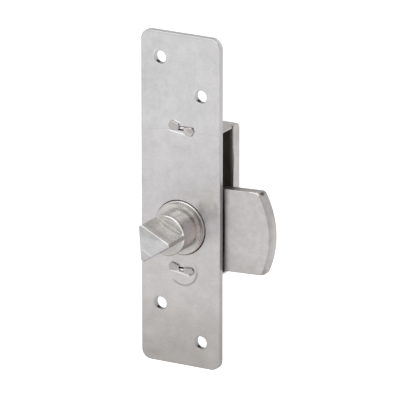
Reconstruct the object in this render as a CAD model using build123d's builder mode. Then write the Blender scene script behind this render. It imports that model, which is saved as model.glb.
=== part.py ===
"""Triangle key latch: a slotted face plate with a bent sheet case staked behind it.

A turned spindle with a triangular nose passes through both and swings a flat cam bolt, the
tongue. Disc springs behind the tongue hold it where it is turned.

Frame, in millimetres: +X to the right as seen from the front, +Y into the door, +Z up. The
origin is the middle of the back face of the plate, which is the face that rests on the door.
"""

import os
from math import acos, cos, degrees, radians, sin, sqrt

from build123d import *

# Face plate
plate_width = 35.0
plate_height = 135.0
plate_thickness = 2.5
plate_corner_radius = 4.0
plate_edge_round = 0.4
plate_back_break = 0.2
screw_hole_diameter = 5.2
screw_column_offset = 9.0
outer_screw_height = 57.0
inner_screw_height = 43.5
punched_rim = 0.2

# Spindle, from its nose to its rear end
axis_height = -10.9
key_turn = 3.7
key_flat_distance = 4.7
key_length = 12.0
key_root_radius = 0.4
key_tip_chamfer = 0.3
key_shoulder_chamfer = 0.3
bar_diameter = 16.4
bar_reach = 24.0
nose_collar_diameter = 20.2
nose_collar_length = 1.2
journal_diameter = 21.8
journal_proud = 1.0
journal_rim = 0.2
retaining_collar_diameter = 26.0
retaining_collar_thickness = 0.7
square_across_flats = 14.0
square_corner_radius = 1.0
rear_journal_diameter = 12.0

# Tongue, which swings on the spindle
tongue_thickness = 4.5
tongue_half_width = 16.7
tongue_reach = 38.5
tongue_tip_radius = 35.0
tongue_upper_corner_radius = 1.8
tongue_lower_corner_radius = 1.0
tongue_front_bevel = 1.2
tongue_edge_break = 0.3
tongue_rest_tilt = 2.6

# Case, bent from one strip of sheet
sheet_thickness = 1.0
case_depth = 15.0
case_side_margin = 0.05
case_bend_radius = 2.5
case_edge_round = 0.5
lip_upper_depth = 6.2
lip_lower_depth = 3.6
tab_length = 10.4
tab_offset = 0.5
slot_height = 1.9
lower_slot_shift = 0.4

# Staked head of a tab: a chisel mark parts it in two lobes, spread to opposite sides
head_height = 0.7
head_edge_break = 0.2
head_corner_radius = 0.6
lobe_near_end = 1.1
lobe_near_short_side = 0.7
lobe_near_long_side = 1.75
lobe_far_short_end = 4.6
lobe_far_short_side = 1.0
lobe_tip_end = 5.7
lobe_tip_side = 0.6
lobe_far_long_end = 4.35
lobe_far_long_side = 2.85
chisel_mark_depth = 0.4
lower_head_lift = 0.3
lower_head_spread = 0.8

# Pieces on the rear journal
ring_thickness = 1.0
ring_outer_diameter = 18.0
ring_groove_depth = 0.25
ring_mouth = 5.0
spring_outer_diameter = 25.0
spring_thickness = 0.9
spring_cone = 0.5
spring_count = 2

# Clearances
journal_clearance = 0.1
rear_journal_clearance = 0.08
running_gap = 0.1
heel_clearance = 0.3
tip_clearance = 1.45
slot_end_clearance = 0.15
bush_clearance = 0.1
seat_clearance = 0.05
spring_contact_gap = 0.02

# Places along Y, from the nose back
plate_front = -plate_thickness
tip_front = plate_front - bar_reach
key_shoulder = tip_front + key_length
journal_front = plate_front - journal_proud
nose_collar_front = journal_front - nose_collar_length
tongue_front = running_gap + retaining_collar_thickness
tongue_back = tongue_front + tongue_thickness
ring_back = tongue_back + ring_thickness
wall_inner = case_depth - sheet_thickness
spring_pitch = spring_thickness + spring_cone + spring_contact_gap
spacer_front = ring_back + running_gap
spacer_back = wall_inner - spring_count * spring_pitch

# Radii about the spindle axis
bar_radius = bar_diameter / 2
nose_collar_radius = nose_collar_diameter / 2
journal_radius = journal_diameter / 2
collar_radius = retaining_collar_diameter / 2
rear_radius = rear_journal_diameter / 2
groove_radius = rear_radius - ring_groove_depth
spring_outer_radius = spring_outer_diameter / 2
spring_inner_radius = rear_radius + bush_clearance

# Case legs and side walls: the heel and the tip of the tongue clear them
lower_leg_inner = axis_height - tongue_half_width - heel_clearance
lower_leg_outer = lower_leg_inner - sheet_thickness
upper_leg_inner = axis_height + tongue_reach + tip_clearance
upper_leg_outer = upper_leg_inner + sheet_thickness
case_half_width = tongue_half_width + case_side_margin
upper_tab_height = upper_leg_inner + sheet_thickness / 2
lower_tab_height = lower_leg_inner - sheet_thickness / 2
slot_heights = (upper_tab_height, lower_tab_height + lower_slot_shift)
head_heights = (upper_tab_height, slot_heights[1] + lower_head_lift)

spindle_axis = Axis((0, 0, axis_height), (0, 1, 0))
tilt_direction = (cos(radians(tongue_rest_tilt)), 0, sin(radians(tongue_rest_tilt)))


def front_plane(y, height=0.0, x=0.0):
    """Plane square to Y at depth y, seen from the front, with +Z up."""
    return Plane(origin=(x, y, height), x_dir=(1, 0, 0), z_dir=(0, -1, 0))


def tilted_plane(y):
    """Plane square to Y on the spindle axis, turned with the tongue."""
    return Plane(origin=(0, y, axis_height), x_dir=tilt_direction, z_dir=(0, -1, 0))


def axial_plane(angle=0.0):
    """Plane through the spindle axis: local x is the radius at this angle, local y is depth."""
    outward = (cos(angle), 0, sin(angle))
    return Plane(origin=(0, 0, axis_height), x_dir=outward, z_dir=(-sin(angle), 0, cos(angle)))


# Plate: rounded corners, four screw holes, the hub hole and a slot for each tab
with BuildPart() as face_plate:
    with BuildSketch(front_plane(0)):
        RectangleRounded(plate_width, plate_height, plate_corner_radius)
    extrude(amount=plate_thickness)
    front_rim = face_plate.faces().sort_by(Axis.Y)[0].edges()
    back_rim = face_plate.faces().sort_by(Axis.Y)[-1].edges()
    fillet(front_rim, radius=plate_edge_round)
    chamfer(back_rim, length=plate_back_break)
    with BuildSketch(front_plane(0)):
        with Locations(
            (-screw_column_offset, outer_screw_height),
            (screw_column_offset, inner_screw_height),
            (-screw_column_offset, -inner_screw_height),
            (screw_column_offset, -outer_screw_height),
        ):
            Circle(screw_hole_diameter / 2)
        with Locations((0, axis_height)):
            Circle(journal_radius + journal_clearance)
    extrude(amount=plate_thickness, mode=Mode.SUBTRACT)
    punched_edges = face_plate.faces().sort_by(Axis.Y)[0].inner_wires().edges()
    chamfer(punched_edges, length=punched_rim)
    with BuildSketch(front_plane(0)):
        with Locations(*[(tab_offset, height) for height in slot_heights]):
            Rectangle(tab_length + 2 * slot_end_clearance, slot_height)
    extrude(amount=plate_thickness, mode=Mode.SUBTRACT)
face_plate.part.label = "face_plate"

# Case: a channel that opens to both sides, with slanted lips along its back wall
with BuildPart() as case:
    with BuildSketch(Plane.YZ.offset(-case_half_width)):
        with BuildLine():
            Polyline(
                (0, upper_leg_outer),
                (case_depth, upper_leg_outer),
                (case_depth, lower_leg_outer),
                (0, lower_leg_outer),
                (0, lower_leg_inner),
                (wall_inner, lower_leg_inner),
                (wall_inner, upper_leg_inner),
                (0, upper_leg_inner),
                close=True,
            )
        channel_face = make_face()
        fillet(channel_face.vertices().group_by(Axis.X)[-1], radius=case_bend_radius)
        inner_corners = channel_face.vertices().filter_by_position(
            Axis.X, wall_inner - sheet_thickness / 2, wall_inner + sheet_thickness / 2
        )
        fillet(inner_corners, radius=case_bend_radius - sheet_thickness)
    extrude(amount=2 * case_half_width)
    for lip_start in (-case_half_width, case_half_width - sheet_thickness):
        with BuildSketch(Plane.YZ.offset(lip_start)):
            with BuildLine():
                Polyline(
                    (wall_inner, upper_leg_inner),
                    (wall_inner, lower_leg_inner),
                    (case_depth - lip_lower_depth, lower_leg_inner),
                    (case_depth - lip_upper_depth, upper_leg_inner),
                    close=True,
                )
            make_face()
        extrude(amount=sheet_thickness)
    rear_side_edges = case.edges().filter_by(Axis.Z).group_by(Axis.Y)[-1]
    fillet(rear_side_edges, radius=case_edge_round)
    with BuildSketch(front_plane(case_depth, axis_height)):
        Circle(rear_radius + rear_journal_clearance)
    extrude(amount=sheet_thickness, mode=Mode.SUBTRACT)
    for height in (upper_tab_height, lower_tab_height):
        with BuildSketch(front_plane(0, height, tab_offset)):
            Rectangle(tab_length, sheet_thickness)
        extrude(amount=plate_thickness)
    for height, spread in zip(head_heights, (1.0, lower_head_spread)):
        for lobe_turn in (0, 180):
            with BuildSketch(front_plane(plate_front, height, tab_offset)) as staked_lobe:
                with BuildLine(Rotation(0, 0, lobe_turn)):
                    Polyline(
                        (lobe_near_end, lobe_near_short_side),
                        (lobe_far_short_end, lobe_far_short_side),
                        (lobe_tip_end, -lobe_tip_side),
                        (lobe_far_long_end, -lobe_far_long_side * spread),
                        (lobe_near_end, -lobe_near_long_side * spread),
                        close=True,
                    )
                make_face()
                fillet(staked_lobe.vertices(), radius=head_corner_radius)
            extrude(amount=head_height)
        with BuildSketch(front_plane(plate_front + chisel_mark_depth, height, tab_offset)):
            Rectangle(2 * lobe_near_end, 2 * slot_height)
        extrude(amount=chisel_mark_depth, mode=Mode.SUBTRACT)
    head_rims = case.faces().filter_by(Axis.Y).group_by(Axis.Y)[0].edges()
    chamfer(head_rims, length=head_edge_break)
case.part.label = "case"

# Spindle: turned all over, then three flats for the key and a square for the tongue
with BuildPart() as spindle:
    with BuildSketch(axial_plane()):
        with BuildLine():
            Polyline(
                (0, tip_front),
                (bar_radius - key_tip_chamfer, tip_front),
                (bar_radius, tip_front + key_tip_chamfer),
                (bar_radius, nose_collar_front),
                (nose_collar_radius, nose_collar_front),
                (nose_collar_radius, journal_front),
                (journal_radius - journal_rim, journal_front),
                (journal_radius, journal_front + journal_rim),
                (journal_radius, running_gap),
                (collar_radius, running_gap),
                (collar_radius, tongue_front),
                (rear_radius, tongue_front),
                (rear_radius, tongue_back),
                (groove_radius, tongue_back),
                (groove_radius, ring_back),
                (rear_radius, ring_back),
                (rear_radius, case_depth),
                (0, case_depth),
                close=True,
            )
        make_face()
    revolve(axis=spindle_axis)
    with BuildSketch(tilted_plane(tongue_back)):
        RectangleRounded(square_across_flats, square_across_flats, square_corner_radius)
    extrude(amount=tongue_thickness)
    for corner_turn in (60, 180, 300):
        flat_angle = radians(key_turn + corner_turn)
        with BuildSketch(axial_plane(flat_angle)) as flat_profile:
            with BuildLine():
                Polyline(
                    (key_flat_distance - 2 * key_tip_chamfer, tip_front - key_tip_chamfer),
                    (bar_diameter, tip_front - key_tip_chamfer),
                    (bar_diameter, key_shoulder),
                    (key_flat_distance, key_shoulder),
                    (key_flat_distance, tip_front + key_tip_chamfer),
                    close=True,
                )
            make_face()
            root_corner = flat_profile.vertices().group_by(Axis.Y)[-1].sort_by(Axis.X)[0]
            fillet(root_corner, radius=key_root_radius)
        extrude(amount=bar_diameter, both=True, mode=Mode.SUBTRACT)
        rim_half_angle = acos(key_flat_distance / bar_radius)
        with BuildSketch(axial_plane(flat_angle + rim_half_angle)):
            with BuildLine():
                Polyline(
                    (bar_radius - key_shoulder_chamfer, key_shoulder),
                    (bar_radius + key_shoulder_chamfer, key_shoulder),
                    (bar_radius + key_shoulder_chamfer, key_shoulder + 2 * key_shoulder_chamfer),
                    close=True,
                )
            make_face()
        revolve(axis=spindle_axis, revolution_arc=2 * degrees(rim_half_angle), mode=Mode.SUBTRACT)
spindle.part.label = "spindle"

# Tongue: a round heel about the axis and a tip that is a flat arc
tip_centre = tongue_reach - tongue_tip_radius
tip_corner = tip_centre + sqrt(tongue_tip_radius**2 - tongue_half_width**2)
with BuildPart() as tongue:
    with BuildSketch(tilted_plane(tongue_back)) as tongue_outline:
        with BuildLine():
            ThreePointArc((0, tongue_half_width), (-tongue_half_width, 0), (0, -tongue_half_width))
            Line((0, -tongue_half_width), (tip_corner, -tongue_half_width))
            ThreePointArc(
                (tip_corner, -tongue_half_width), (tongue_reach, 0), (tip_corner, tongue_half_width)
            )
            Line((tip_corner, tongue_half_width), (0, tongue_half_width))
        make_face()
    extrude(amount=tongue_thickness)
    tip_arc = tongue.faces().sort_by(Axis.Y)[0].edges().filter_by(GeomType.CIRCLE).sort_by(Axis.X)[-1]
    chamfer(tip_arc, length=tongue_front_bevel)
    upper_corner = tongue.edges().filter_by(Axis.Y).sort_by(Axis.X)[-2:].sort_by(Axis.Z)[-1]
    fillet(upper_corner, radius=tongue_upper_corner_radius)
    lower_corner = tongue.edges().filter_by(Axis.Y).sort_by(Axis.X)[-3:].sort_by(Axis.Z)[0]
    fillet(lower_corner, radius=tongue_lower_corner_radius)
    rear_edges = tongue.faces().sort_by(Axis.Y)[-1].edges()
    chamfer(rear_edges, length=tongue_edge_break)
    with BuildSketch(tilted_plane(tongue_back)):
        square_hole = square_across_flats + 2 * seat_clearance
        RectangleRounded(square_hole, square_hole, square_corner_radius)
    extrude(amount=tongue_thickness, mode=Mode.SUBTRACT)
tongue.part.label = "tongue"

# Retaining ring: snaps into the groove behind the tongue
with BuildPart() as retaining_ring:
    with BuildSketch(tilted_plane(ring_back)):
        Circle(ring_outer_diameter / 2)
        Circle(groove_radius + seat_clearance, mode=Mode.SUBTRACT)
        with Locations((-ring_outer_diameter / 2, 0)):
            Rectangle(ring_outer_diameter, ring_mouth, mode=Mode.SUBTRACT)
    extrude(amount=ring_thickness)
retaining_ring.part.label = "retaining_ring"

# Spacer bush: fills the depth that the springs leave and passes their push to the ring
with BuildPart() as spacer_bush:
    with BuildSketch(front_plane(spacer_back, axis_height)):
        Circle(spring_outer_radius)
        Circle(spring_inner_radius, mode=Mode.SUBTRACT)
    extrude(amount=spacer_back - spacer_front)
spacer_bush.part.label = "spacer_bush"

# Disc springs: coned rings, stacked rim to rim between the bush and the back wall
disc_springs = []
for index in range(spring_count):
    spring_front = spacer_back + index * spring_pitch + spring_contact_gap / 2
    inner_lift = spring_cone * (index % 2)
    outer_lift = spring_cone - inner_lift
    with BuildPart() as disc_spring:
        with BuildSketch(axial_plane()):
            with BuildLine():
                Polyline(
                    (spring_inner_radius, spring_front + inner_lift),
                    (spring_outer_radius, spring_front + outer_lift),
                    (spring_outer_radius, spring_front + outer_lift + spring_thickness),
                    (spring_inner_radius, spring_front + inner_lift + spring_thickness),
                    close=True,
                )
            make_face()
        revolve(axis=spindle_axis)
    disc_spring.part.label = f"disc_spring_{index + 1}"
    disc_springs.append(disc_spring)

os.makedirs("parts", exist_ok=True)
export_step(face_plate.part, "parts/face_plate.step")
export_step(case.part, "parts/case.step")
export_step(spindle.part, "parts/spindle.step")
export_step(tongue.part, "parts/tongue.step")
export_step(retaining_ring.part, "parts/retaining_ring.step")
export_step(spacer_bush.part, "parts/spacer_bush.step")
for disc_spring in disc_springs:
    export_step(disc_spring.part, f"parts/{disc_spring.part.label}.step")
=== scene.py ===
"""Looks of the triangle key latch: its steel finishes, the studio and the camera."""

import logging
import math
from dataclasses import dataclass, field
from enum import Enum

import bpy
from mathutils import Matrix, Vector


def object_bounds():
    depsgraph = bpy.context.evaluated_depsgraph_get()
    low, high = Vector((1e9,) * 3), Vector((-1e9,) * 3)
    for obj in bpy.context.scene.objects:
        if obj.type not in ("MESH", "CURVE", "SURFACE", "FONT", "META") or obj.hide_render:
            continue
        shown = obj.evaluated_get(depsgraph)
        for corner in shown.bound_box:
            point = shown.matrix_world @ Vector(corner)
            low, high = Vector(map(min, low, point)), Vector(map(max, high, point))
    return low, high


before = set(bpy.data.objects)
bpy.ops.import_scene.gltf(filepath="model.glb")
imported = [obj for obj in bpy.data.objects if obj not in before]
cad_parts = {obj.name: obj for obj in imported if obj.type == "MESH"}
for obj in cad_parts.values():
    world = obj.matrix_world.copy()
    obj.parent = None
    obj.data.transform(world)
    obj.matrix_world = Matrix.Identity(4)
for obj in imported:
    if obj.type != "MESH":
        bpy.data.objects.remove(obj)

logging.basicConfig(level=logging.INFO, format="%(message)s")
log = logging.getLogger("latch")

CAD_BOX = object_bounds()
MM = 0.001

Colour = tuple[float, float, float]
Place = tuple[float, float, float]
Point = tuple[float, float]
Value = float | bpy.types.NodeSocket
Tint = Colour | bpy.types.NodeSocket

# Height of the spindle's axis, in millimetres
AXIS_HEIGHT = -10.9

# Colour of the shade in tool marks, of the lamps and of the surroundings
BLACK: Colour = (0.0, 0.0, 0.0)
COOL_LIGHT: Colour = (0.97, 1.0, 1.02)
WHITE: Colour = (1.0, 1.0, 1.0)

# Colours that several marks share, from dark to bright; many stand for painted light and shade
PAINTED_DEEP_SHADE: Colour = (0.03, 0.025, 0.02)
OLD_OIL_AND_SHADE: Colour = (0.05, 0.04, 0.03)
SOOT: Colour = (0.07, 0.07, 0.07)
UMBER: Colour = (0.08, 0.07, 0.06)
BROWN_PAINTED_SHADE: Colour = (0.1, 0.08, 0.05)
OLIVE_PAINTED_SHADE: Colour = (0.1, 0.1, 0.06)
SCRATCH_DIRT_AND_SHADE: Colour = (0.11, 0.1, 0.09)
GREASE_AND_SHADE: Colour = (0.16, 0.14, 0.12)
HEAD_GREY: Colour = (0.16, 0.145, 0.14)
WARM_PAINTED_SHEEN: Colour = (0.9, 0.88, 0.86)
PALE_PAINTED_LIGHT: Colour = (0.9, 0.9, 0.9)
BRIGHT_PAINTED_LIGHT: Colour = (0.95, 0.95, 0.95)

# Edge of a ragged patch as a share of its size, and width of the frays along it, in millimetres
PATCH_EDGE = 0.8
PATCH_FRAY = 1.5

# How far past a face its own marks still count, in millimetres
SKIN = 0.01

# How squarely a face looks along the spindle's axis: an end, and the middle and spread of a chamfer
END_FACING = 0.8
SLANT_FACING = 0.6
SLANT_SPREAD = 0.35

# Share of the large clouds and of the fine specks in the mottling, and how much finer the specks are
CLOUD_SHARE = 0.7
SPECK_SHARE = 0.3
SPECK_FINENESS = 6

# Levels between which a soft step runs: clouds, tool marks, painted shade on undersides, worn edges, painted
# shade in corners
CLOUD_LEVELS = (0.33, 0.67)
STREAK_LEVELS = (0.6, 0.35)
UNDER_LEVELS = (-0.1, -0.6)
EDGE_LEVELS = (0.99, 0.8)
CORNER_LEVELS = (0.75, 0.1)

# Colour of the painted shade on end faces and of worn edges, how rolling stretches its marks, and how shine
# varies
END_PAINTED_SHADE: Colour = (0.1, 0.1, 0.105)
WORN_TINT: Colour = (0.85, 0.84, 0.83)
ROLLED_STRETCH: Place = (1.0, 1.0, 0.06)
SHINE_SPREAD = 0.25


class Grain(Enum):
    """How the tool that finished a surface ran over it."""

    MOTTLED = "mottled"
    TURNED = "turned"
    ROLLED = "rolled"


class Bench:
    """One material in the making, with short calls for its nodes.

    Attributes:
        material: The material.
        tree: Its node tree.
        shader: Its Principled BSDF.
        place: Where a point of the surface lies, in metres.
    """

    def __init__(self, name: str) -> None:
        """Makes an empty material.

        Args:
            name: Name of the material.
        """
        self.material = bpy.data.materials.new(name)
        self.material.use_nodes = True
        self.tree = self.material.node_tree
        self.shader = self.tree.nodes["Principled BSDF"]
        self.place = self.add("ShaderNodeTexCoord").outputs["Object"]

    def add(self, kind: str, **settings: object) -> bpy.types.Node:
        """Adds a node.

        Args:
            kind: Blender's name for the kind of node.
            **settings: Values for the node's own properties.

        Returns:
            The new node.
        """
        node = self.tree.nodes.new(kind)
        for name, value in settings.items():
            setattr(node, name, value)
        return node

    def feed(self, socket: bpy.types.NodeSocket, value: object) -> None:
        """Gives an input a value or a link.

        Args:
            socket: The input.
            value: A number, a colour, a vector or another node's output.
        """
        if isinstance(value, bpy.types.NodeSocket):
            self.tree.links.new(value, socket)
        elif socket.type == "RGBA":
            socket.default_value = (*value, 1.0)
        else:
            socket.default_value = value

    def calc(self, operation: str, *values: Value) -> bpy.types.NodeSocket:
        """Works out a number.

        Args:
            operation: Name of the Math node's operation.
            *values: Its numbers or outputs, in order.

        Returns:
            The result.
        """
        node = self.add("ShaderNodeMath", operation=operation)
        for socket, value in zip(node.inputs, values):
            self.feed(socket, value)
        return node.outputs["Value"]

    def vector(self, operation: str, output: str, *values: object) -> bpy.types.NodeSocket:
        """Works out a vector or its length.

        Args:
            operation: Name of the Vector Math node's operation.
            output: "Vector" or "Value".
            *values: Its vectors or outputs, in order.

        Returns:
            The result.
        """
        node = self.add("ShaderNodeVectorMath", operation=operation)
        for socket, value in zip(node.inputs, values):
            self.feed(socket, value)
        return node.outputs[output]

    def noise(self, size: float, detail: float = 3.0, place: object = None) -> bpy.types.NodeSocket:
        """Makes soft noise.

        Args:
            size: Width of its largest blotches, in metres.
            detail: How many finer layers it has.
            place: Where the noise is read, or None for the surface's own place.

        Returns:
            The noise, mostly between 0.3 and 0.7.
        """
        node = self.add("ShaderNodeTexNoise")
        self.feed(node.inputs["Vector"], self.place if place is None else place)
        node.inputs["Scale"].default_value = 1.0 / size
        node.inputs["Detail"].default_value = detail
        return node.outputs["Fac"]

    def step(self, value: Value, low: float, high: float, top: float = 1.0) -> bpy.types.NodeSocket:
        """Turns a value into a soft step.

        Args:
            value: The value.
            low: Where the step starts.
            high: Where the step ends, which may be below low.
            top: Height of the step.

        Returns:
            The step, from 0 to its height.
        """
        node = self.add("ShaderNodeMapRange", interpolation_type="SMOOTHSTEP")
        for name, number in (("Value", value), ("From Min", low), ("From Max", high), ("To Max", top)):
            self.feed(node.inputs[name], number)
        return node.outputs["Result"]

    def blend(self, amount: Value, below: Tint, above: Tint) -> bpy.types.NodeSocket:
        """Blends two colours.

        Args:
            amount: How much of the second colour shows, from 0 to 1.
            below: The first colour.
            above: The second colour.

        Returns:
            The blended colour.
        """
        node = self.add("ShaderNodeMixRGB")
        for socket, value in zip(node.inputs, (amount, below, above)):
            self.feed(socket, value)
        return node.outputs["Color"]

    def axis(self, name: str) -> bpy.types.NodeSocket:
        """Reads one coordinate of the surface's place.

        Args:
            name: "X", "Y" or "Z".

        Returns:
            The coordinate, in metres.
        """
        node = self.add("ShaderNodeSeparateXYZ")
        self.feed(node.inputs["Vector"], self.place)
        return node.outputs[name]

    def length(self, offset: bpy.types.NodeSocket) -> bpy.types.NodeSocket:
        """Measures a vector."""
        return self.vector("LENGTH", "Value", offset)

    def off_line(self, x: float, z: float) -> bpy.types.NodeSocket:
        """Finds where the surface lies from a line along Y.

        Args:
            x: Place of the line along x, in millimetres.
            z: Place of the line along z, in millimetres.

        Returns:
            The offset square to that line, in metres.
        """
        offset = self.vector("SUBTRACT", "Vector", self.place, (x * MM, 0.0, z * MM))
        return self.vector("MULTIPLY", "Vector", offset, (1.0, 0.0, 1.0))

    def share(self, centre: Place, size: Place) -> bpy.types.NodeSocket:
        """Measures how far the surface lies from a place, as a share of a size.

        Args:
            centre: The place, in millimetres.
            size: Half sizes along x, y and z, in millimetres, with 0 where distance doesn't count.

        Returns:
            The distance, which is 1 where that size is reached.
        """
        offset = self.vector("SUBTRACT", "Vector", self.place, tuple(part * MM for part in centre))
        scale = tuple(1.0 / (part * MM) if part else 0.0 for part in size)
        return self.length(self.vector("MULTIPLY", "Vector", offset, scale))

    def sector(
        self,
        offset: bpy.types.NodeSocket,
        away: bpy.types.NodeSocket,
        heading: float,
        reach: float,
        fade: float,
    ) -> bpy.types.NodeSocket:
        """Finds the part of a ring that lies round one direction.

        Args:
            offset: Offset from the ring's middle.
            away: Length of that offset.
            heading: Direction of the part's middle, in degrees from +x towards +z.
            reach: How far the part runs to each side of it, in degrees.
            fade: How softly its ends run out, as a difference of cosines.

        Returns:
            1 in that part, running out to 0 at its ends.
        """
        turn = math.radians(heading)
        ahead = self.vector("DOT_PRODUCT", "Value", offset, (math.cos(turn), 0.0, math.sin(turn)))
        edge = math.cos(math.radians(reach))
        return self.step(self.calc("DIVIDE", ahead, away), edge, edge + fade)


@dataclass
class Surface:
    """What the marks on a surface work on.

    Attributes:
        bench: The material in the making.
        colour: Colour so far.
        height: Height of the relief so far, in metres.
        front: 1 on the piece's front, else 0.
    """

    bench: Bench
    colour: Tint
    height: Value
    front: Value = 1.0

    def shade(self, amount: Value, tint: Colour) -> None:
        """Blends a tint over the colour."""
        self.colour = self.bench.blend(amount, self.colour, tint)

    def raise_by(self, height: Value) -> None:
        """Adds to the height of the relief."""
        self.height = self.bench.calc("ADD", self.height, height)


@dataclass(frozen=True)
class Furrow:
    """A straight dent or scratch on the front of a piece.

    Attributes:
        start: One end, as x and z in millimetres.
        end: The other end.
        width: Distance over which its flank runs out, in millimetres.
        depth: Depth of its bed, in millimetres.
        mark_strength: How much its colour shows, from 0 to 1.
        mark_colour: Colour laid along it: grime in a scratch, a painted highlight or painted shade along an
            edge.
    """

    start: Point
    end: Point
    width: float
    depth: float
    mark_strength: float = 0.0
    mark_colour: Colour = SCRATCH_DIRT_AND_SHADE

    def mark(self, surface: Surface) -> None:
        """Presses the furrow into a surface.

        Args:
            surface: The surface.
        """
        bench = surface.bench
        (start_x, start_z), (end_x, end_z) = self.start, self.end
        run = Vector(((end_x - start_x) * MM, 0.0, (end_z - start_z) * MM))
        offset = bench.off_line(start_x, start_z)
        along = bench.vector("DOT_PRODUCT", "Value", offset, tuple(run / run.length_squared))
        along = bench.calc("MAXIMUM", bench.calc("MINIMUM", along, 1.0), 0.0)
        nearest = bench.add("ShaderNodeVectorMath", operation="SCALE")
        bench.feed(nearest.inputs[0], tuple(run))
        bench.feed(nearest.inputs["Scale"], along)
        away = bench.vector("DISTANCE", "Value", offset, nearest.outputs["Vector"])
        bed = bench.step(away, self.width * MM, 0.0)
        bed = bench.calc("MULTIPLY", bed, surface.front)
        surface.raise_by(bench.calc("MULTIPLY", bed, -self.depth * MM))
        surface.shade(bench.calc("MULTIPLY", bed, self.mark_strength), self.mark_colour)


@dataclass(frozen=True)
class RingArc:
    """Part of a ring on the plate's front: the dent of a round punch, or painted shade in the gap round the
    hub.

    Attributes:
        centre: Middle of the ring, as x and z in millimetres.
        radius: Radius of the ring, in millimetres.
        width: Half width of the ring's line, in millimetres.
        depth: Depth of the line, in millimetres.
        mark_strength: How much its colour shows, from 0 to 1.
        heading: Direction in which the ring is strongest, in degrees from +x towards +z.
        reach: How far it runs to each side of that direction, in degrees.
        mark_colour: Colour laid in it: grime in a punch's dent, painted shade in the hub's gap.
        fade: How softly its ends run out, as a difference of cosines.
    """

    centre: Point
    radius: float
    width: float
    depth: float
    mark_strength: float
    heading: float
    reach: float
    mark_colour: Colour = SCRATCH_DIRT_AND_SHADE
    fade: float = 0.4

    def mark(self, surface: Surface) -> None:
        """Presses the ring into a surface.

        Args:
            surface: The surface.
        """
        bench = surface.bench
        offset = bench.off_line(*self.centre)
        away = bench.length(offset)
        off_ring = bench.calc("ABSOLUTE", bench.calc("SUBTRACT", away, self.radius * MM))
        line = bench.step(off_ring, self.width * MM, 0.0)
        line = bench.calc("MULTIPLY", line, bench.sector(offset, away, self.heading, self.reach, self.fade))
        line = bench.calc("MULTIPLY", line, surface.front)
        surface.raise_by(bench.calc("MULTIPLY", line, -self.depth * MM))
        surface.shade(bench.calc("MULTIPLY", line, self.mark_strength), self.mark_colour)


@dataclass(frozen=True)
class SoftPatch:
    """A soft patch of colour on the front of a piece, used for smears and tints, and for painted light.

    Attributes:
        centre: Middle of the patch, as x and z in millimetres.
        size: Half width and half height, in millimetres.
        strength: How much it shows, from 0 to 1.
        tint: Colour of the patch.
        fray: Width of the frays along its edge, in millimetres.
    """

    centre: Point
    size: Point
    strength: float
    tint: Colour
    fray: float = 2.5

    def mark(self, surface: Surface) -> None:
        """Colours a surface.

        Args:
            surface: The surface.
        """
        bench = surface.bench
        (x, z), (half_width, half_height) = self.centre, self.size
        away = bench.share((x, 0.0, z), (half_width, 0.0, half_height))
        ragged = bench.calc("ADD", away, bench.calc("SUBTRACT", bench.noise(self.fray * MM, 4.0), 0.5))
        amount = bench.calc("MULTIPLY", bench.step(ragged, 1.0, 0.0, self.strength), surface.front)
        surface.shade(amount, self.tint)


@dataclass(frozen=True)
class HeightBlend:
    """A colour on a piece that grows from one height to another, up or down, used for tints and for painted
    shade.

    Attributes:
        start: Height where the film starts, in millimetres.
        end: Height where it is complete, in millimetres.
        strength: How much it shows, from 0 to 1.
        tint: Colour laid over the piece.
    """

    start: float
    end: float
    strength: float
    tint: Colour

    def mark(self, surface: Surface) -> None:
        """Lays the colour over a surface.

        Args:
            surface: The surface.
        """
        height = surface.bench.axis("Z")
        surface.shade(surface.bench.step(height, self.start * MM, self.end * MM, self.strength), self.tint)


@dataclass(frozen=True)
class PaintedHollowShade:
    """Painted shade over what lies in a box of the case's inside; on walls that mirror the hollow it stands
    for their dark reflection.

    Attributes:
        low: Lowest corner of the hollow, in millimetres.
        high: Highest corner of the hollow, in millimetres.
        tint: Painted colour, dark as the shade or as its reflection.
        blur: Half width of its edge, in millimetres.
    """

    low: Place
    high: Place
    tint: Colour = (0.0155, 0.0125, 0.0095)
    blur: float = 0.02

    def mark(self, surface: Surface) -> None:
        """Paints the shade or its reflection over what lies in the box.

        Args:
            surface: The surface.
        """
        bench = surface.bench
        middle = tuple((a + b) / 2 * MM for a, b in zip(self.low, self.high))
        half = tuple((b - a) / 2 * MM for a, b in zip(self.low, self.high))
        offset = bench.vector("ABSOLUTE", "Vector", bench.vector("SUBTRACT", "Vector", bench.place, middle))
        past = bench.vector("SUBTRACT", "Vector", offset, half)
        split = bench.add("ShaderNodeSeparateXYZ")
        bench.feed(split.inputs["Vector"], past)
        furthest = bench.calc("MAXIMUM", split.outputs["X"], split.outputs["Y"])
        furthest = bench.calc("MAXIMUM", furthest, split.outputs["Z"])
        surface.shade(bench.step(furthest, self.blur * MM, -self.blur * MM), self.tint)


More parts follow.
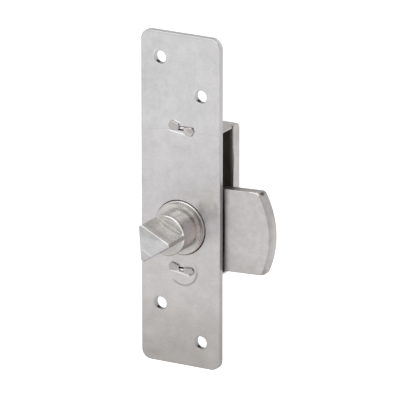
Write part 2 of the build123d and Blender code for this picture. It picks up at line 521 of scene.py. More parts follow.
@dataclass(frozen=True)
class PaintedRootBand:
    """Band of painted light round the spindle at a shoulder: dark as shade and reflections there, bright as
    highlights.

    Attributes:
        front: Depth where the band fades out, in millimetres.
        back: Depth of the shoulder, where the band is strongest and ends.
        inside: Least distance from the spindle's axis, in millimetres.
        outside: Greatest distance from the spindle's axis, in millimetres.
        heading: Direction in which the band is strongest, in degrees from +x towards +z.
        reach: How far it runs to each side of that direction, in degrees.
        strength: How much it shows, from 0 to 1.
        tint: Colour of the band.
        fade: How softly its ends run out, as a difference of cosines.
    """

    front: float
    back: float
    inside: float
    outside: float
    heading: float
    reach: float
    strength: float
    tint: Colour = (0.1, 0.085, 0.07)
    fade: float = 0.5

    def mark(self, surface: Surface) -> None:
        """Colours the band.

        Args:
            surface: The surface.
        """
        bench = surface.bench
        across = bench.off_line(0.0, AXIS_HEIGHT)
        radius = bench.length(across)
        depth = bench.axis("Y")
        amount = bench.step(depth, self.front * MM, self.back * MM, self.strength)
        for test, reading, limit in (
            ("LESS_THAN", depth, self.back + SKIN),
            ("LESS_THAN", radius, self.outside),
            ("GREATER_THAN", radius, self.inside),
        ):
            amount = bench.calc("MULTIPLY", amount, bench.calc(test, reading, limit * MM))
        sector = bench.sector(across, radius, self.heading, self.reach, self.fade)
        surface.shade(bench.calc("MULTIPLY", amount, sector), self.tint)


@dataclass(frozen=True)
class RaggedPatch:
    """A ragged patch of colour at one place of a piece, seen from every side, used for grime and grease and
    for painted light and shade.

    Attributes:
        centre: Middle of the patch, in millimetres.
        size: Half sizes along x, y and z, in millimetres.
        strength: How much it shows, from 0 to 1.
        tint: Colour of the patch.
        fray: How ragged its edge is, from 0 to 1.
        blur: Half width of its edge, as a share of its size.
        core: Share of its size that stays clear, so that only a rim shows, or 0 for none.
    """

    centre: Place
    size: Place
    strength: float
    tint: Colour
    fray: float = 0.5
    blur: float = 0.3
    core: float = 0.0

    def mark(self, surface: Surface) -> None:
        """Colours a surface.

        Args:
            surface: The surface.
        """
        bench = surface.bench
        away = bench.share(self.centre, self.size)
        uneven = bench.calc("SUBTRACT", bench.noise(PATCH_FRAY * MM, 3.0), 0.5)
        ragged = bench.calc("ADD", away, bench.calc("MULTIPLY", uneven, self.fray * 2))
        amount = bench.step(ragged, PATCH_EDGE + self.blur, PATCH_EDGE - self.blur, self.strength)
        if self.core:
            rim = bench.step(ragged, self.core - self.blur, self.core + self.blur)
            amount = bench.calc("MULTIPLY", amount, rim)
        surface.shade(amount, self.tint)


@dataclass(frozen=True)
class PaintedBevelShade:
    """Painted shade on the bevel ground along the tongue's tip, darker than its face.

    Attributes:
        centre: Centre of the tip's arc, as x and z in millimetres.
        radius: Distance from that centre where the bevel starts, in millimetres.
        width: Distance over which the darkening fades out again, in millimetres.
        back: Depth behind which nothing is darkened, in millimetres.
        strength: How much it shows, from 0 to 1.
        tint: Colour of the painted shade.
        blur: Half width of its edges, in millimetres.
    """

    centre: Point
    radius: float
    width: float
    back: float
    strength: float
    tint: Colour
    blur: float = 0.05

    def mark(self, surface: Surface) -> None:
        """Paints the shade on the bevel.

        Args:
            surface: The surface.
        """
        bench = surface.bench
        away = bench.length(bench.off_line(*self.centre))
        inner, outer = (self.radius - self.blur) * MM, (self.radius + self.blur) * MM
        start = bench.step(away, inner, outer, self.strength)
        fade = bench.step(away, (self.radius + self.width) * MM, self.radius * MM)
        front = bench.step(bench.axis("Y"), self.back * MM, (self.back - 2 * self.blur) * MM)
        surface.shade(bench.calc("MULTIPLY", bench.calc("MULTIPLY", start, fade), front), self.tint)


Mark = Furrow | RingArc | SoftPatch | HeightBlend | PaintedHollowShade | PaintedRootBand | RaggedPatch | PaintedBevelShade


@dataclass(frozen=True)
class ScrewHole:
    """A screw hole of the plate, with light and shade painted on its wall.

    Attributes:
        x: Place of its middle along x, in millimetres.
        z: Place of its middle along z, in millimetres.
        painted_wall_grey: Grey painted on its wall, lighter than the plate as light and darker as shade.
    """

    x: float
    z: float
    painted_wall_grey: float

    def marks(self) -> tuple[Mark, ...]:
        """Makes its marks.

        Returns:
            The wall's painted grey, a painted dark reflection low on its left and painted shade at its
            bottom.
        """
        # The wall's grey, the dark spot and the darker bottom are painted light and shade
        wall = (self.painted_wall_grey, self.painted_wall_grey, self.painted_wall_grey)
        spot, bottom = (0.02, 0.02, 0.02), (0.05, 0.05, 0.05)
        return (
            RaggedPatch((self.x - 1.2, -1.6, self.z + 0.6), (2.5, 3.0, 3.0), 0.9, wall, 0.1, 0.15),
            RaggedPatch((self.x - 1.4, -1.1, self.z - 2.1), (1.15, 1.35, 0.85), 0.97, spot, 0.1, 0.2),
            RaggedPatch((self.x - 0.1, -1.1, self.z - 2.6), (1.5, 1.4, 0.7), 0.5, bottom, 0.1),
        )


@dataclass(frozen=True)
class SteelFinish:
    """Satin plated steel: mottled, with tool marks and worn edges, and painted shade in its corners, on its
    undersides, ends and chamfers.

    Attributes:
        name: Name of the material.
        tint: Linear colour of the plating.
        roughness: Middle roughness of the surface.
        cloud_size: Width of the soft clouds, in millimetres.
        cloud_depth: How far the clouds darken the tint, from 0 to 1.
        grain: Direction of the tool marks.
        grain_pitch: Spacing of the tool marks, in millimetres.
        grain_depth: Depth of the tool marks, in millimetres.
        grain_shade: How far the tool marks darken the tint, from 0 to 1.
        edge_round: Radius of the worn edges, in millimetres.
        edge_wear: How bright the worn edges are, from 0 to 1.
        corner_shade_reach: How far the painted shade spreads from a corner, in millimetres.
        corner_shade_depth: How much the painted shade in corners shows, from 0 to 1.
        mark_colour: Colour of the painted shade in corners, on undersides and on chamfers.
        front_depth: Depth in front of which a face counts as the piece's front, in millimetres.
        painted_end_shade: How much painted shade darkens the faces square to the axis, from 0 to 1.
        painted_underside_shade: How much painted shade darkens the undersides, from 0 to 1.
        painted_slant_shade: How much painted shade darkens the chamfers about the spindle's axis, from 0 to
            1.
        slant_roughness: Roughness added on those chamfers.
        marks: Marks that only this piece has.
    """

    name: str
    tint: Colour
    roughness: float = 0.42
    cloud_size: float = 5.0
    cloud_depth: float = 0.1
    grain: Grain = Grain.MOTTLED
    grain_pitch: float = 0.7
    grain_depth: float = 0.004
    grain_shade: float = 0.04
    edge_round: float = 0.2
    edge_wear: float = 0.35
    # Painted shade in corners, from ambient occlusion
    corner_shade_reach: float = 1.2
    corner_shade_depth: float = 0.35
    mark_colour: Colour = (0.09, 0.075, 0.06)
    front_depth: float = -1.25
    # Painted shade on end faces, undersides and chamfers
    painted_end_shade: float = 0.0
    painted_underside_shade: float = 0.3
    painted_slant_shade: float = 0.0
    slant_roughness: float = 0.0
    marks: tuple[Mark, ...] = ()

    def end_on(self, bench: Bench) -> bpy.types.NodeSocket:
        """Finds the faces that lie square to the spindle's axis.

        Args:
            bench: The material in the making.

        Returns:
            1 on those faces, else 0.
        """
        normal = bench.add("ShaderNodeNewGeometry").outputs["Normal"]
        facing = bench.vector("DOT_PRODUCT", "Value", normal, (0.0, 1.0, 0.0))
        return bench.calc("GREATER_THAN", bench.calc("ABSOLUTE", facing), END_FACING)

    def slanted(self, bench: Bench) -> bpy.types.NodeSocket:
        """Finds the faces that slant between the spindle's axis and square to it.

        Args:
            bench: The material in the making.

        Returns:
            1 on those faces, else 0.
        """
        normal = bench.add("ShaderNodeNewGeometry").outputs["Normal"]
        facing = bench.vector("DOT_PRODUCT", "Value", normal, (0.0, -1.0, 0.0))
        off_middle = bench.calc("ABSOLUTE", bench.calc("SUBTRACT", facing, SLANT_FACING))
        return bench.calc("LESS_THAN", off_middle, SLANT_SPREAD)

    def tool_marks(self, bench: Bench) -> bpy.types.NodeSocket:
        """Makes the pattern that the tool left.

        Args:
            bench: The material in the making.

        Returns:
            The pattern, mostly between 0.3 and 0.7.
        """
        pitch = self.grain_pitch * MM
        if self.grain is Grain.MOTTLED:
            return bench.noise(pitch, 2.0)
        if self.grain is Grain.ROLLED:
            stretched = bench.vector("MULTIPLY", "Vector", bench.place, ROLLED_STRETCH)
            return bench.noise(pitch, 3.0, stretched)
        radius = bench.length(bench.off_line(0.0, AXIS_HEIGHT))
        depth = bench.axis("Y")
        reading = bench.calc("MULTIPLY_ADD", bench.calc("SUBTRACT", radius, depth), self.end_on(bench), depth)
        rings = bench.add("ShaderNodeTexNoise", noise_dimensions="1D")
        bench.feed(rings.inputs["W"], reading)
        rings.inputs["Scale"].default_value = 1.0 / pitch
        rings.inputs["Detail"].default_value = 3.0
        return rings.outputs["Fac"]

    def mottling(self, bench: Bench) -> bpy.types.NodeSocket:
        """Makes the uneven pattern of the plating.

        Args:
            bench: The material in the making.

        Returns:
            The pattern, mostly between 0.3 and 0.7.
        """
        clouds = bench.calc("MULTIPLY", bench.noise(self.cloud_size * MM, 6.0), CLOUD_SHARE)
        specks = bench.calc("MULTIPLY", bench.noise(self.cloud_size * MM / SPECK_FINENESS, 3.0), SPECK_SHARE)
        return bench.calc("ADD", clouds, specks)

    def lay_plating(self, bench: Bench, uneven: Value, slant: Value) -> Surface:
        """Lays the plating with its tool marks, and paints shade on the end faces, undersides and chamfers.

        Args:
            bench: The material in the making.
            uneven: The mottling.
            slant: 1 on the chamfers about the spindle's axis, else 0.

        Returns:
            The surface, ready for its marks.
        """
        grain = self.tool_marks(bench)
        dark = tuple(part * (1.0 - self.cloud_depth) for part in self.tint)
        light = tuple(part * (1.0 + self.cloud_depth) for part in self.tint)
        colour = bench.blend(bench.step(uneven, *CLOUD_LEVELS), dark, light)
        surface = Surface(bench, colour, bench.calc("MULTIPLY", grain, self.grain_depth * MM))
        surface.front = bench.calc("LESS_THAN", bench.axis("Y"), self.front_depth * MM)
        surface.shade(bench.step(grain, *STREAK_LEVELS, self.grain_shade), BLACK)
        # Painted shade on the end faces, the undersides and the chamfers
        if self.painted_end_shade:
            surface.shade(bench.calc("MULTIPLY", self.end_on(bench), self.painted_end_shade), END_PAINTED_SHADE)
        split = bench.add("ShaderNodeSeparateXYZ")
        bench.feed(split.inputs["Vector"], bench.add("ShaderNodeTexCoord").outputs["Normal"])
        surface.shade(bench.step(split.outputs["Z"], *UNDER_LEVELS, self.painted_underside_shade), self.mark_colour)
        surface.shade(bench.calc("MULTIPLY", slant, self.painted_slant_shade), self.mark_colour)
        return surface

    def wear(self, surface: Surface) -> bpy.types.NodeSocket:
        """Wears the edges bright and paints shade into the corners.

        Args:
            surface: The surface with its marks.

        Returns:
            The normal of the worn and marked surface.
        """
        bench = surface.bench
        rounded = bench.add("ShaderNodeBevel", samples=6)
        rounded.inputs["Radius"].default_value = self.edge_round * MM
        facing = bench.add("ShaderNodeNewGeometry").outputs["Normal"]
        match = bench.vector("DOT_PRODUCT", "Value", rounded.outputs["Normal"], facing)
        surface.shade(bench.step(match, *EDGE_LEVELS, self.edge_wear), WORN_TINT)
        # Painted shade in the corners, from ambient occlusion
        corners = bench.add("ShaderNodeAmbientOcclusion", samples=8)
        corners.inputs["Distance"].default_value = self.corner_shade_reach * MM
        surface.shade(bench.step(corners.outputs["AO"], *CORNER_LEVELS, self.corner_shade_depth), self.mark_colour)
        bump = bench.add("ShaderNodeBump")
        bump.inputs["Distance"].default_value = 1.0
        bench.feed(bump.inputs["Height"], surface.height)
        bench.feed(bump.inputs["Normal"], rounded.outputs["Normal"])
        return bump.outputs["Normal"]

    def build(self) -> bpy.types.Material:
        """Makes the material.

        Returns:
            The node material of this finish.
        """
        bench = Bench(self.name)
        uneven = self.mottling(bench)
        slant = self.slanted(bench)
        surface = self.lay_plating(bench, uneven, slant)
        for mark in self.marks:
            mark.mark(surface)
        normal = self.wear(surface)
        shine = bench.calc("MULTIPLY_ADD", bench.calc("SUBTRACT", uneven, 0.5), SHINE_SPREAD, self.roughness)
        shine = bench.calc("MULTIPLY_ADD", slant, self.slant_roughness, shine)
        shader = bench.shader
        shader.inputs["Metallic"].default_value = 1.0
        bench.feed(shader.inputs["Normal"], normal)
        bench.feed(shader.inputs["Base Color"], surface.colour)
        bench.feed(shader.inputs["Roughness"], shine)
        return bench.material


@dataclass
class DressedNode:
    """A CAD node and the finish that it wears.

    Attributes:
        node: Name of the CAD node.
        finish: Finish of its whole surface.
    """

    node: str
    finish: SteelFinish

    def dress(self) -> None:
        """Puts the finish on every material slot of the node."""
        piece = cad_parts[self.node]
        material = self.finish.build()
        if not piece.material_slots:
            piece.data.materials.append(material)
        for slot in piece.material_slots:
            slot.material = material
        log.info("%s wears %s", self.node, self.finish.name)


@dataclass
class Housing:
    """Face plate, case and the springs in it.

    Attributes:
        hollow: Painted shade over the inside of the case.
        back_wall: Painted reflection of the dark hollow on the case's back wall from inside.
        lip_rim: Painted reflection of the dark hollow on the cut rim of the right lip.
        plate_back: Painted shade on the plate's back where it closes the case.
        marks: Marks on the plate, among them painted light and shade.
        holes: The plate's screw holes.
        case_marks: Marks on the case, most of them on its staked heads; some are painted light and shade.
    """

    hollow: PaintedHollowShade = PaintedHollowShade((-16.65, 0.05, -27.85), (16.65, 13.95, 29.0))
    back_wall: PaintedHollowShade = PaintedHollowShade((-16.65, 13.97, -27.85), (16.65, 14.1, 29.0), (0.37, 0.33, 0.27))
    lip_rim: PaintedHollowShade = PaintedHollowShade((15.6, 8.0, -27.85), (16.7, 12.0, 29.0), (0.5, 0.44, 0.37))
    plate_back: PaintedHollowShade = PaintedHollowShade((-17.4, -0.1, -27.9), (17.4, 0.5, 29.0))
    marks: tuple[Mark, ...] = (
        # Dents with painted highlights along them below the staked heads, and a painted highlight above the
        # upper left lobe
        Furrow((-4.6, 28.1), (1.8, 27.3), 0.6, 0.03, 0.4, PALE_PAINTED_LIGHT),
        Furrow((-4.2, -28.9), (3.6, -30.2), 0.6, 0.03, 0.35, PALE_PAINTED_LIGHT),
        Furrow((-2.6, 32.5), (-0.5, 31.9), 0.45, 0.05, 0.6, BRIGHT_PAINTED_LIGHT),
        Furrow((-14.7, 26.9), (-5.7, 28.8), 0.35, 0.01, 0.14),
        Furrow((8.5, 28.5), (17.0, 28.9), 0.35, 0.01, 0.1),
        Furrow((6.9, 5.5), (16.9, 5.8), 0.3, 0.01, 0.14),
        Furrow((-3.5, 23.2), (-0.6, 23.6), 0.35, 0.01, 0.12),
        Furrow((-3.3, 21.6), (-0.4, 22.0), 0.35, 0.01, 0.12),
        # Painted shade in the gap round the hub: near black low on the right, thinner up on the left
        RingArc((0.0, -10.9), 11.08, 0.3, 0.0, 1.0, -92.0, 74.0, (0.015, 0.012, 0.01)),
        RingArc((0.0, -10.9), 11.1, 0.25, 0.0, 0.75, 150.0, 50.0, OLD_OIL_AND_SHADE),
        RingArc((1.15, -28.2), 6.25, 0.7, 0.05, 0.52, -66.0, 78.0),
        RingArc((1.15, -28.2), 6.25, 0.6, 0.01, 0.16, 0.0, 60.0),
        RingArc((1.15, 29.4), 6.3, 0.4, 0.02, 0.12, -5.0, 40.0),
        SoftPatch((12.5, 1.0), (7.0, 7.0), 0.32, (0.3, 0.28, 0.22)),
        SoftPatch((15.9, -1.4), (1.8, 4.2), 0.4, (0.17, 0.15, 0.12)),
        SoftPatch((9.4, -1.8), (2.6, 3.6), 0.36, (0.17, 0.15, 0.13)),
        SoftPatch((4.5, 3.0), (6.5, 2.6), 0.22, (0.3, 0.28, 0.24)),
        # Painted light, lifting the shade to the right of the hub
        SoftPatch((13.2, -8.0), (3.6, 4.0), 0.22, (0.85, 0.85, 0.88)),
        SoftPatch((-14.0, 52.0), (12.0, 26.0), 0.1, SOOT),
        # Painted sheen low on the left of the plate
        SoftPatch((-13.5, -56.0), (7.0, 4.5), 0.14, WARM_PAINTED_SHEEN),
        SoftPatch((-13.5, -65.0), (7.0, 4.0), 0.12, OLD_OIL_AND_SHADE),
        SoftPatch((0.0, 21.0), (7.0, 6.0), 0.05, SOOT),
        SoftPatch((13.0, -61.0), (6.0, 6.0), 0.12, (0.9, 0.88, 0.85)),
        # Painted light on the upper part of the right edge face, painted shade on its lower part
        RaggedPatch((17.5, -1.25, 45.0), (0.8, 1.8, 40.0), 0.11, (0.85, 0.83, 0.82), 0.1),
        RaggedPatch((17.5, -1.25, -50.0), (0.8, 1.8, 30.0), 0.12, BROWN_PAINTED_SHADE, 0.1),
        HeightBlend(35.0, 5.0, 0.07, (0.14, 0.04, 0.06)),
        HeightBlend(-8.0, -30.0, 0.03, (0.45, 0.38, 0.05)),
        # Painted shade: darker towards the bottom of the plate, on the fillet along its bottom edge, and over
        # the highlight on its top fillet
        HeightBlend(-32.0, -66.0, 0.3, (0.07, 0.05, 0.02)),
        HeightBlend(-66.8, -67.4, 0.3, (0.07, 0.05, 0.04)),
        HeightBlend(66.2, 67.1, 0.08, (0.07, 0.06, 0.06)),
        # Painted highlight on the upper right corner, painted shade on the lower right corner
        RaggedPatch((16.0, -0.9, 66.0), (2.6, 1.2, 2.6), 0.4, BRIGHT_PAINTED_LIGHT, 0.1),
        RaggedPatch((16.6, -1.2, -66.2), (1.8, 1.3, 1.8), 0.4, BROWN_PAINTED_SHADE, 0.1),
    )
    # Upper hole walls are painted lighter and lower ones darker, as their light and shade
    holes: tuple[ScrewHole, ...] = (
        ScrewHole(-9.0, 57.0, 0.5),
        ScrewHole(9.0, 43.5, 0.5),
        ScrewHole(-9.0, -43.5, 0.32),
        ScrewHole(9.0, -57.0, 0.32),
    )
    case_marks: tuple[Mark, ...] = (
        RaggedPatch((-3.0, -3.0, 30.5), (3.6, 2.0, 3.0), 0.45, HEAD_GREY, 0.2),
        RaggedPatch((3.6, -3.0, 28.9), (3.6, 2.0, 3.0), 0.3, HEAD_GREY, 0.4),
        RaggedPatch((4.6, -3.2, 29.2), (1.6, 1.0, 1.2), 0.3, (0.12, 0.11, 0.1), 0.3),
        RaggedPatch((-3.0, -3.0, -26.7), (3.6, 2.0, 3.0), 0.5, GREASE_AND_SHADE, 0.4),
        RaggedPatch((3.6, -3.0, -28.2), (3.6, 2.0, 3.0), 0.42, GREASE_AND_SHADE, 0.4),
        RaggedPatch((4.9, -2.9, -29.5), (0.9, 0.8, 0.8), 0.5, UMBER, 0.2),
        # Painted light over the staked heads and in their slots, and painted highlights at their waists
        RaggedPatch((0.5, -2.75, 29.5), (9.0, 0.45, 4.5), 0.2, (0.85, 0.85, 0.85), 0.1),
        RaggedPatch((0.5, -2.75, -27.6), (9.0, 0.45, 4.0), 0.3, PALE_PAINTED_LIGHT, 0.1),
        RaggedPatch((0.4, -2.1, 29.9), (1.0, 0.5, 0.6), 0.3, PALE_PAINTED_LIGHT, 0.2),
        RaggedPatch((0.4, -2.1, -28.0), (1.0, 0.5, 0.6), 0.35, PALE_PAINTED_LIGHT, 0.2),
        # Painted shade over the top face of the case, brownish
        RaggedPatch((0.0, 7.0, 30.2), (40.0, 9.0, 0.6), 0.22, (0.12, 0.1, 0.06), 0.3),
        # Painted shade along the rim of the right lip
        RaggedPatch((16.75, 9.0, 24.0), (0.6, 0.8, 9.0), 0.8, OLD_OIL_AND_SHADE, 0.6),
        RaggedPatch((16.75, 9.5, 14.0), (0.6, 0.8, 9.0), 0.8, OLD_OIL_AND_SHADE, 0.6),
        RaggedPatch((16.75, 9.0, 29.2), (0.8, 0.8, 0.9), 0.8, (0.04, 0.03, 0.025), 0.4),
    )

    def dress(self) -> None:
        """Dresses the nodes of the housing."""
        hole_marks = [mark for hole in self.holes for mark in hole.marks()]
        plate = SteelFinish(
            "plate_plating",
            (0.43, 0.42, 0.422),
            cloud_depth=0.08,
            corner_shade_depth=0.15,
            marks=(*self.marks, *hole_marks, self.plate_back),
        )
        sheet = SteelFinish(
            "sheet_plating",
            (0.462, 0.44, 0.431),
            grain=Grain.ROLLED,
            grain_pitch=0.5,
            corner_shade_depth=0.15,
            # Colour of the painted shade in the case's corners and undersides
            mark_colour=(0.02, 0.016, 0.012),
            marks=(*self.case_marks, self.hollow, self.back_wall, self.lip_rim),
        )
        spring = SteelFinish(
            "oiled_spring_steel", (0.1, 0.095, 0.09), 0.35, grain=Grain.TURNED, grain_pitch=0.4
        )
        DressedNode("face_plate", plate).dress()
        DressedNode("case", sheet).dress()
        for node in ("spacer_bush", "disc_spring_1", "disc_spring_2"):
            DressedNode(node, spring).dress()


@dataclass
class Bolt:
    """Spindle, tongue and the ring that holds them together.

    Attributes:
        turned_marks: Marks on the spindle, most of them painted light and shade.
        tongue_marks: Marks on the tongue, most of them painted light and shade.
    """

    turned_marks: tuple[Mark, ...] = (
        # Painted shade and reflection at the root of the bar and on the collar's side
        PaintedRootBand(-7.2, -4.7, 7.6, 8.6, 30.0, 80.0, 0.36),
        PaintedRootBand(-5.0, -3.5, 9.5, 10.5, 44.0, 45.0, 0.38),
        # Painted highlight on the journal's rim
        PaintedRootBand(-4.0, -2.4, 10.7, 11.2, 50.0, 65.0, 0.75, WARM_PAINTED_SHEEN),
        # Painted shade on the disc's right side, and painted light low on the collar
        PaintedRootBand(-4.0, -3.3, 10.15, 11.0, -8.0, 62.0, 0.85, (0.28, 0.24, 0.23)),
        PaintedRootBand(-5.2, -3.5, 9.9, 10.3, -32.0, 62.0, 0.6, (0.9, 0.85, 0.82)),
        # Painted shade on the disc's right side
        RaggedPatch((9.3, -3.6, -11.9), (2.2, 1.0, 5.0), 0.35, (0.25, 0.2, 0.19), 0.3),
        # A painted dark arc where the flat runs out, and a painted reflection of the shoulder's bright edge
        # below it
        RaggedPatch((2.3, -14.4, -6.8), (7.0, 2.7, 7.0), 0.62, (0.16, 0.15, 0.13), 0.05, 0.1, 0.66),
        RaggedPatch((2.9, -14.5, -7.1), (7.8, 5.0, 7.8), 0.2, (0.85, 0.83, 0.8), 0.1, 0.14, 0.62),
        # Painted shade over the highlight at the flat's root, and a painted highlight on the shoulder's edge
        PaintedRootBand(-15.0, -14.52, 0.0, 8.3, 60.0, 180.0, 0.7, (0.3, 0.29, 0.27)),
        PaintedRootBand(-14.8, -14.2, 7.75, 8.25, 22.0, 48.0, 0.9, (0.95, 0.93, 0.9)),
        # Painted shade over the lower side of the spindle
        HeightBlend(-12.5, -19.0, 0.2, (0.1, 0.07, 0.04)),
        # Painted highlights on the top of the bar, and painted shade on the collar's upper left
        RaggedPatch((-0.4, -9.0, -2.8), (4.0, 5.2, 1.8), 0.6, (0.8, 0.78, 0.75), 0.2),
        RaggedPatch((5.5, -9.9, -4.8), (2.8, 5.4, 2.8), 0.42, (0.8, 0.77, 0.75), 0.2),
        RaggedPatch((-8.0, -4.2, -6.0), (3.0, 1.5, 5.0), 0.12, (0.12, 0.1, 0.08), 0.3),
        SoftPatch((0.0, -10.9), (30.0, 30.0), 0.2, (0.26, 0.28, 0.36)),
        # Painted reflection, lighter on the bar's right side
        RaggedPatch((7.9, -8.5, -10.0), (2.2, 6.0, 6.5), 0.5, (0.75, 0.66, 0.65), 0.3),
        # Painted shade on the nose's flats, painted light on the middle of the flat, painted shade on the
        # tip's upper edge
        RaggedPatch((1.0, -24.0, -6.3), (8.0, 2.6, 3.5), 0.18, OLIVE_PAINTED_SHADE, 0.3),
        RaggedPatch((-3.0, -21.0, -4.3), (4.0, 5.5, 2.5), 0.25, OLIVE_PAINTED_SHADE, 0.3),
        RaggedPatch((3.0, -20.0, -7.2), (6.0, 3.0, 4.0), 0.12, (0.95, 0.92, 0.88), 0.3),
        RaggedPatch((0.5, -26.4, -6.0), (9.0, 0.8, 3.5), 0.25, (0.1, 0.1, 0.07), 0.3),
        Furrow((-3.1, -13.7), (0.7, -15.7), 0.6, 0.01, 0.2, (0.85, 0.85, 0.85)),
    )
    tongue_marks: tuple[Mark, ...] = (
        # Painted shade on the bevel along the tip
        PaintedBevelShade((3.5, -10.74), 33.8, 1.3, 2.05, 0.2, GREASE_AND_SHADE),
        # Painted shade over the tongue's top face, brownish
        RaggedPatch((24.0, 3.9, 7.2), (16.0, 3.0, 1.2), 0.42, (0.11, 0.085, 0.06), 0.3),
        RaggedPatch((16.5, 3.9, 6.7), (5.0, 3.0, 1.2), 0.3, (0.07, 0.055, 0.04), 0.3),
        # Painted shade at the bevel's lower corner, a painted dark reflection in the upper corner, and a
        # painted shadow beside the plate's edge
        RaggedPatch((35.2, 1.6, -25.2), (1.3, 0.9, 3.0), 0.25, UMBER, 0.3),
        RaggedPatch((34.0, 2.0, 7.0), (1.3, 1.7, 1.0), 0.85, PAINTED_DEEP_SHADE, 0.2),
        RaggedPatch((16.7, 0.8, -9.3), (1.6, 0.55, 20.0), 0.92, PAINTED_DEEP_SHADE, 0.05),
        # Painted highlight along the rounded top edge near the corner
        Furrow((28.6, 7.2), (32.0, 6.9), 0.26, 0.0, 0.6, BRIGHT_PAINTED_LIGHT),
        Furrow((32.0, 6.9), (33.6, 6.1), 0.36, 0.0, 0.85, BRIGHT_PAINTED_LIGHT),
        # Painted shade along the bottom front edge
        Furrow((4.0, -27.4), (33.6, -26.05), 0.3, 0.0, 0.35),
        RaggedPatch((22.0, 1.0, -25.0), (16.0, 2.0, 7.0), 0.12, (0.08, 0.06, 0.05), 0.3),
        # Painted sheen on the side of the tongue's tip
        RaggedPatch((38.0, 3.4, -11.0), (2.0, 1.5, 14.0), 0.12, WARM_PAINTED_SHEEN, 0.2),
    )

    def dress(self) -> None:
        """Dresses the nodes of the bolt."""
        turned = SteelFinish(
            "turned_plating",
            (0.525, 0.505, 0.484),
            0.28,
            grain=Grain.TURNED,
            grain_pitch=0.5,
            grain_shade=0.08,
            edge_round=0.06,
            edge_wear=0.1,
            front_depth=-26.2,
            # Painted shade on the spindle's end faces, undersides and chamfers
            painted_end_shade=0.27,
            painted_underside_shade=0.55,
            painted_slant_shade=0.08,
            slant_roughness=0.14,
            marks=self.turned_marks,
        )
        face = SteelFinish(
            "tongue_plating",
            (0.4, 0.385, 0.376),
            cloud_size=2.4,
            cloud_depth=0.08,
            # Wide painted shade in the tongue's corners, where it lies against the plate
            corner_shade_reach=3.5,
            corner_shade_depth=0.6,
            front_depth=1.0,
            marks=self.tongue_marks,
        )
        ring = SteelFinish("oiled_ring_steel", (0.1, 0.095, 0.09), 0.35)
        DressedNode("spindle", turned).dress()
        DressedNode("tongue", face).dress()
        DressedNode("retaining_ring", ring).dress()


@dataclass
class PhotoCamera:
    """The camera of the photograph, as fitted to the edges of the face plate.

    Attributes:
        azimuth: Angle round to the right of the plate's front, in degrees.
        elevation: Angle above level, in degrees.
        distance: From the camera to the plate's front, in metres.
        lens: Focal length in millimetres for the sensor's width.
        sensor: Width of the sensor, in millimetres.
        shift_right: How far the view axis passes left of the plate's middle, in metres.
        shift_up: How far the view axis passes below the plate's middle, in metres.
        plate_front: Depth of the plate's front face, in metres.
        nearest: Distance in front of which the camera sees nothing, in metres.
        furthest: Distance behind which the camera sees nothing, in metres.
    """

    azimuth: float = 29.088
    elevation: float = 17.975
    distance: float = 2.3742
    lens: float = 549.5
    sensor: float = 36.0
    shift_right: float = 0.007608
    shift_up: float = 0.000305
    plate_front: float = -0.0025
    nearest: float = 0.05
    furthest: float = 20.0

    def build(self) -> bpy.types.Object:
        """Makes the camera and sets it as the scene's.

        Returns:
            The camera object.
        """
        turn, rise = math.radians(self.azimuth), math.radians(self.elevation)
        back = Vector((math.sin(turn) * math.cos(rise), -math.cos(turn) * math.cos(rise), math.sin(rise)))
        right = Vector((math.cos(turn), math.sin(turn), 0.0))
        up = back.cross(right)
        data = bpy.data.cameras.new("photo_camera")
        data.lens = self.lens
        data.sensor_width = self.sensor
        data.clip_start = self.nearest
        data.clip_end = self.furthest
        camera = bpy.data.objects.new("photo_camera", data)
        centre = Vector((0.0, self.plate_front, 0.0))
        place = centre + back * self.distance + right * self.shift_right + up * self.shift_up
        axes = Matrix((right, up, back)).transposed()
        camera.matrix_world = Matrix.Translation(place) @ axes.to_4x4()
        bpy.context.collection.objects.link(camera)
        bpy.context.scene.camera = camera
        return camera


@dataclass
class SoftBox:
    """One soft lamp of the studio.

    Attributes:
        name: Name of the lamp.
        place: Middle of the lamp, in metres.
        width: Width of the lamp, in metres.
        height: Height of the lamp, in metres.
        power: Power in watts.
        aim: Point that the lamp faces, in metres.
        tint: Colour of the light.
    """

    name: str
    place: Place
    width: float
    height: float
    power: float
    aim: Place = (0.0, 0.0, 0.0)
    tint: Colour = COOL_LIGHT

    def build(self) -> bpy.types.Object:
        """Makes the lamp.

        Returns:
            The lamp object.
        """
        data = bpy.data.lights.new(self.name, "AREA")
        data.shape = "RECTANGLE"
        data.size = self.width
        data.size_y = self.height
        data.energy = self.power
        data.color = self.tint
        lamp = bpy.data.objects.new(self.name, data)
        lamp.location = self.place
        facing = Vector(self.aim) - Vector(self.place)
        lamp.rotation_euler = facing.to_track_quat("-Z", "Y").to_euler()
        bpy.context.collection.objects.link(lamp)
        return lamp


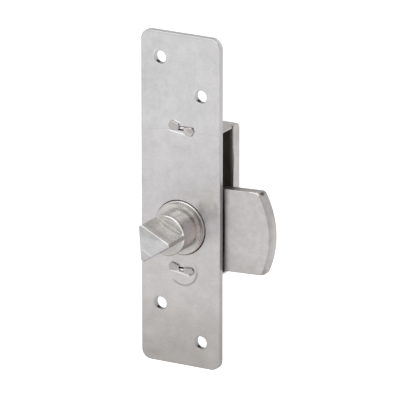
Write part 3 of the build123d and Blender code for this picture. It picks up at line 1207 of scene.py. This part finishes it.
@dataclass
class Studio:
    """Pale floor, soft lamps and the white surroundings.

    Attributes:
        floor_drop: How far the floor lies below the object, in metres.
        floor_size: Width of the floor, in metres.
        floor_tint: Colour of the floor as it is lit.
        floor_roughness: Roughness of the floor.
        floor_lift: White added to the floor where it is seen, so that only its shadow shows.
        surround: Strength of the surroundings as light.
        lamps: The soft lamps.
    """

    floor_drop: float = 0.03
    floor_size: float = 8.0
    floor_tint: Colour = (0.85, 0.85, 0.85)
    floor_roughness: float = 0.9
    floor_lift: float = 0.4
    surround: float = 0.8
    lamps: list[SoftBox] = field(
        default_factory=lambda: [
            SoftBox("top_box", (-0.01, -0.25, 0.29), 0.3, 0.3, 0.65),
            SoftBox("upper_left_box", (-0.16, -0.25, 0.28), 0.12, 0.12, 0.21),
            SoftBox("left_box", (-0.21, -0.38, -0.06), 0.2, 0.2, 0.13),
        ]
    )

    def show_white(
        self, tree: bpy.types.NodeTree, lit: bpy.types.NodeSocket, seen: bpy.types.NodeSocket
    ) -> bpy.types.NodeSocket:
        """Makes a surface or the world white where it is seen, in metal too.

        Args:
            tree: Node tree of the material or the world.
            lit: The shader that gives the light.
            seen: The shader that the camera and reflections show.

        Returns:
            The shader that shows either.
        """
        rays = tree.nodes.new("ShaderNodeLightPath")
        amount = rays.outputs["Is Camera Ray"]
        for name in ("Is Glossy Ray", "Is Transmission Ray"):
            either = tree.nodes.new("ShaderNodeMath")
            either.operation = "MAXIMUM"
            tree.links.new(amount, either.inputs[0])
            tree.links.new(rays.outputs[name], either.inputs[1])
            amount = either.outputs["Value"]
        mix = tree.nodes.new("ShaderNodeMixShader")
        tree.links.new(amount, mix.inputs["Fac"])
        tree.links.new(lit, mix.inputs[1])
        tree.links.new(seen, mix.inputs[2])
        return mix.outputs["Shader"]

    def build_floor(self) -> bpy.types.Object:
        """Makes the floor: pale, and white where it is seen.

        Returns:
            The floor object.
        """
        half = self.floor_size / 2
        height = CAD_BOX[0][2] - self.floor_drop
        mesh = bpy.data.meshes.new("floor")
        corners = [(-half, -half, height), (half, -half, height), (half, half, height), (-half, half, height)]
        mesh.from_pydata(corners, [], [(0, 1, 2, 3)])
        floor = bpy.data.objects.new("floor", mesh)
        bpy.context.collection.objects.link(floor)
        bench = Bench("floor_white")
        bench.feed(bench.shader.inputs["Base Color"], self.floor_tint)
        bench.shader.inputs["Roughness"].default_value = self.floor_roughness
        lit = bench.shader.outputs["BSDF"]
        lift = bench.add("ShaderNodeEmission")
        lift.inputs["Strength"].default_value = self.floor_lift
        both = bench.add("ShaderNodeAddShader")
        bench.feed(both.inputs[0], lit)
        bench.feed(both.inputs[1], lift.outputs["Emission"])
        shown = self.show_white(bench.tree, lit, both.outputs["Shader"])
        bench.feed(bench.tree.nodes["Material Output"].inputs["Surface"], shown)
        mesh.materials.append(bench.material)
        return floor

    def build(self) -> None:
        """Makes the floor, the lamps and the world."""
        self.build_floor()
        for lamp in self.lamps:
            lamp.build()
        world = bpy.data.worlds.new("studio")
        world.use_nodes = True
        tree = world.node_tree
        glow = tree.nodes["Background"]
        glow.inputs["Color"].default_value = (*WHITE, 1.0)
        glow.inputs["Strength"].default_value = self.surround
        white = tree.nodes.new("ShaderNodeBackground")
        white.inputs["Color"].default_value = (*WHITE, 1.0)
        shown = self.show_white(tree, glow.outputs["Background"], white.outputs["Background"])
        tree.links.new(shown, tree.nodes["World Output"].inputs["Surface"])
        bpy.context.scene.world = world


def main() -> None:
    """Dresses the latch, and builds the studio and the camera."""
    PhotoCamera().build()
    Housing().dress()
    Bolt().dress()
    Studio().build()
    bpy.context.scene.view_settings.view_transform = "Standard"


if __name__ == "__main__":
    main()
